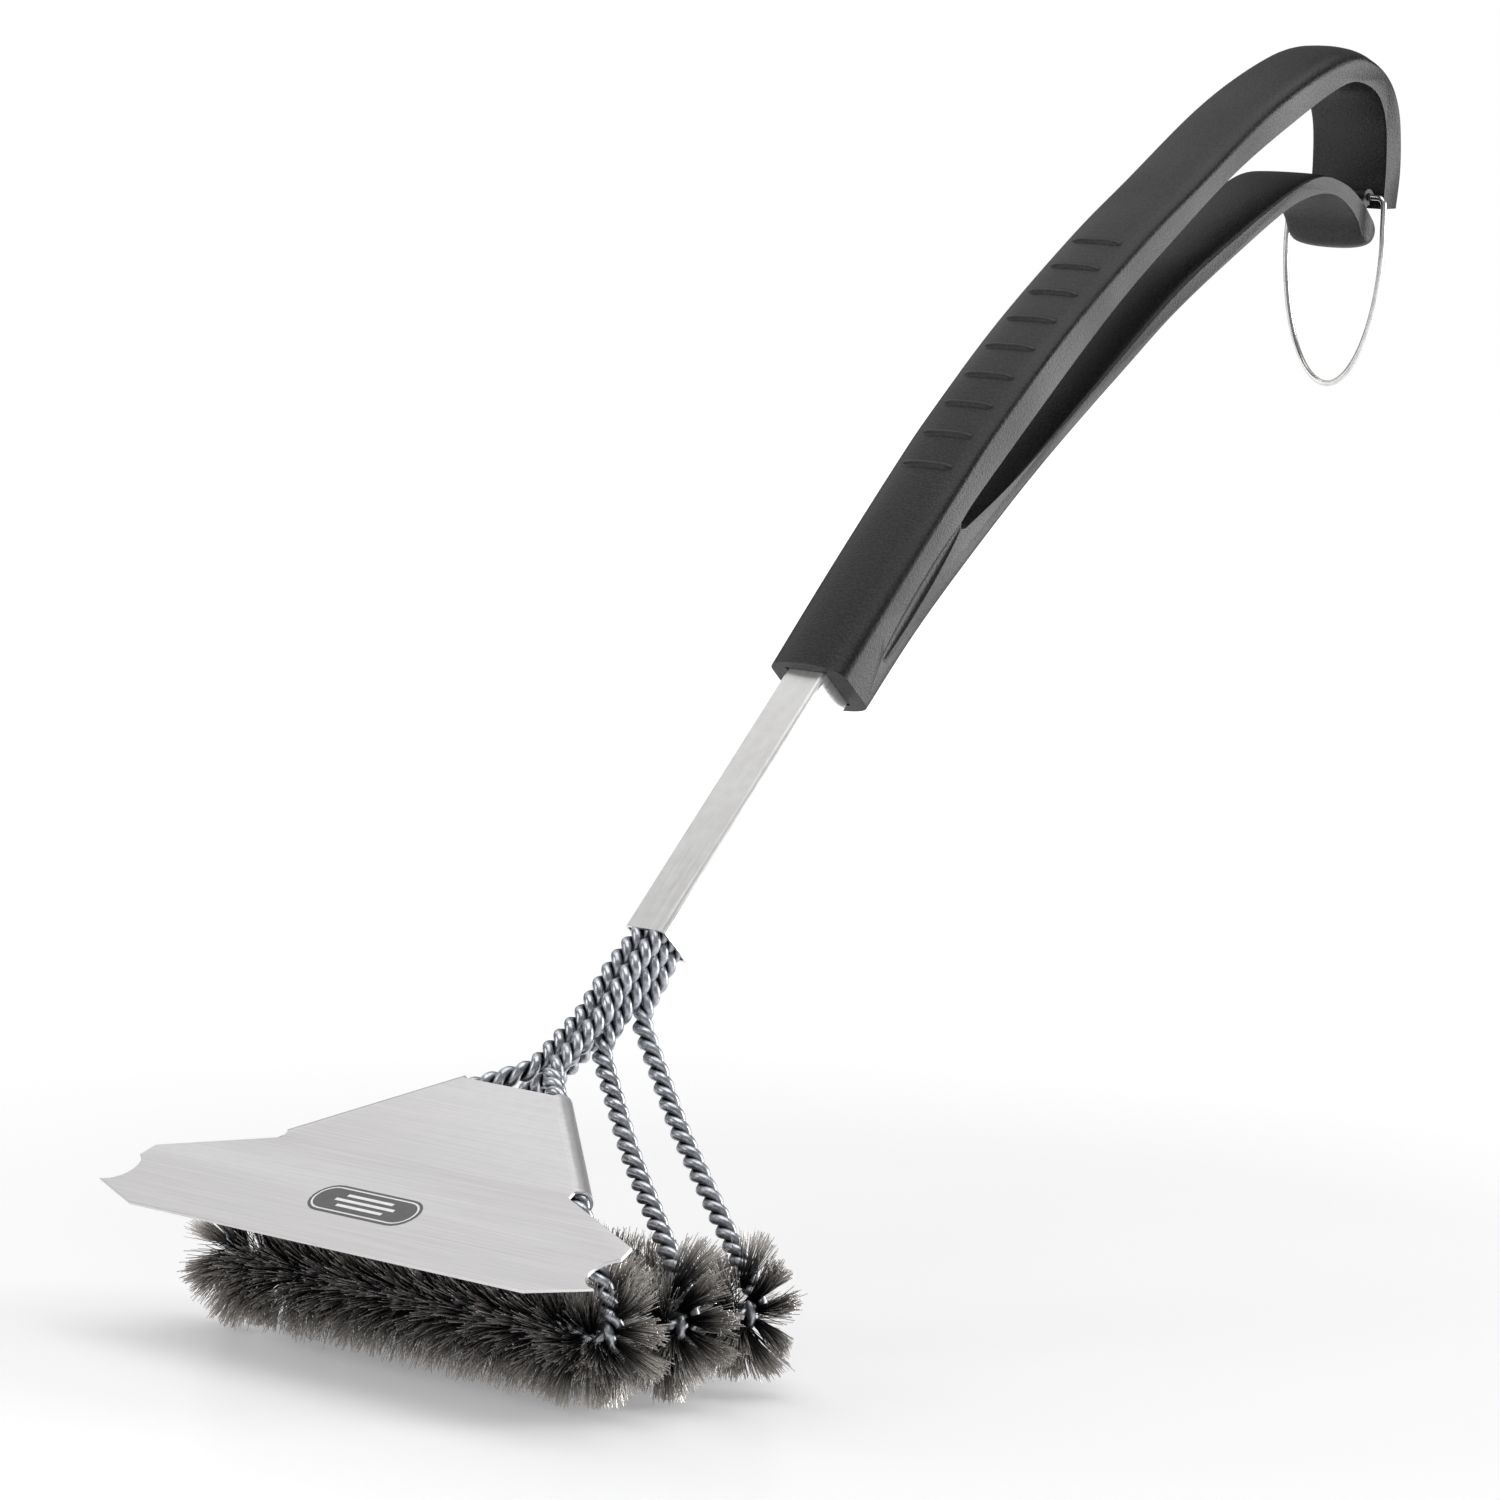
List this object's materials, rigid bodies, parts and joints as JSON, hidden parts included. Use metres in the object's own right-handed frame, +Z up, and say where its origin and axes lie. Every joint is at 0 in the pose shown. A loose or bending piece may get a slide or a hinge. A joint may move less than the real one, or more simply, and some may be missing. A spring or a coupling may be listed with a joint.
{
  "type": "grill cleaning brush",
  "caption": "Grill cleaning brush: twisted-wire loops with bristles, a folded scraper plate, a rectangular shaft tube, and a split hooked handle with a swinging hang ring.",
  "frame": {"origin": "in the middle of the handle's upper limb, where a hand grips it", "axes": "+X across the brush, +Y from the head towards the hook, +Z up, with the bristle rows level"},
  "size_m": [0.186, 0.4245, 0.3662],
  "materials": {
    "plate_steel": "brushed stainless sheet, light grey",
    "tube_steel": "brushed stainless tube",
    "wire_steel": "satin coated steel wire, blue-grey",
    "bristle_steel": "fine steel filaments, dark at the root and bright at the tip",
    "ring_steel": "polished steel wire",
    "handle_nylon": "black nylon with a fine grain"
  },
  "bodies": {
    "brush": {"scraper_plate": "plate_steel", "front_wire_loop": "wire_steel", "middle_wire_loop": "wire_steel", "rear_wire_loop": "wire_steel", "front_bristle_band": "bristle_steel", "middle_bristle_band": "bristle_steel", "rear_bristle_band": "bristle_steel", "front_tuft_left": "bristle_steel", "front_tuft_right": "bristle_steel", "middle_tuft_left": "bristle_steel", "middle_tuft_right": "bristle_steel", "rear_tuft_left": "bristle_steel", "rear_tuft_right": "bristle_steel", "shaft_tube": "tube_steel", "leg_weld_bead": "wire_steel", "tube_cross_pin": "wire_steel", "tube_end_plug": "handle_nylon", "handle": "handle_nylon"},
    "hang_ring": {"hang_ring": "ring_steel"}
  },
  "joints": [
    {"name": "hang_ring_swing", "type": "hinge", "parent": "brush", "child": "hang_ring", "pos_m": [0, 0.15415, 0.05945], "axis": [1, 0, 0], "range_deg": [-74, 176]}
  ]
}
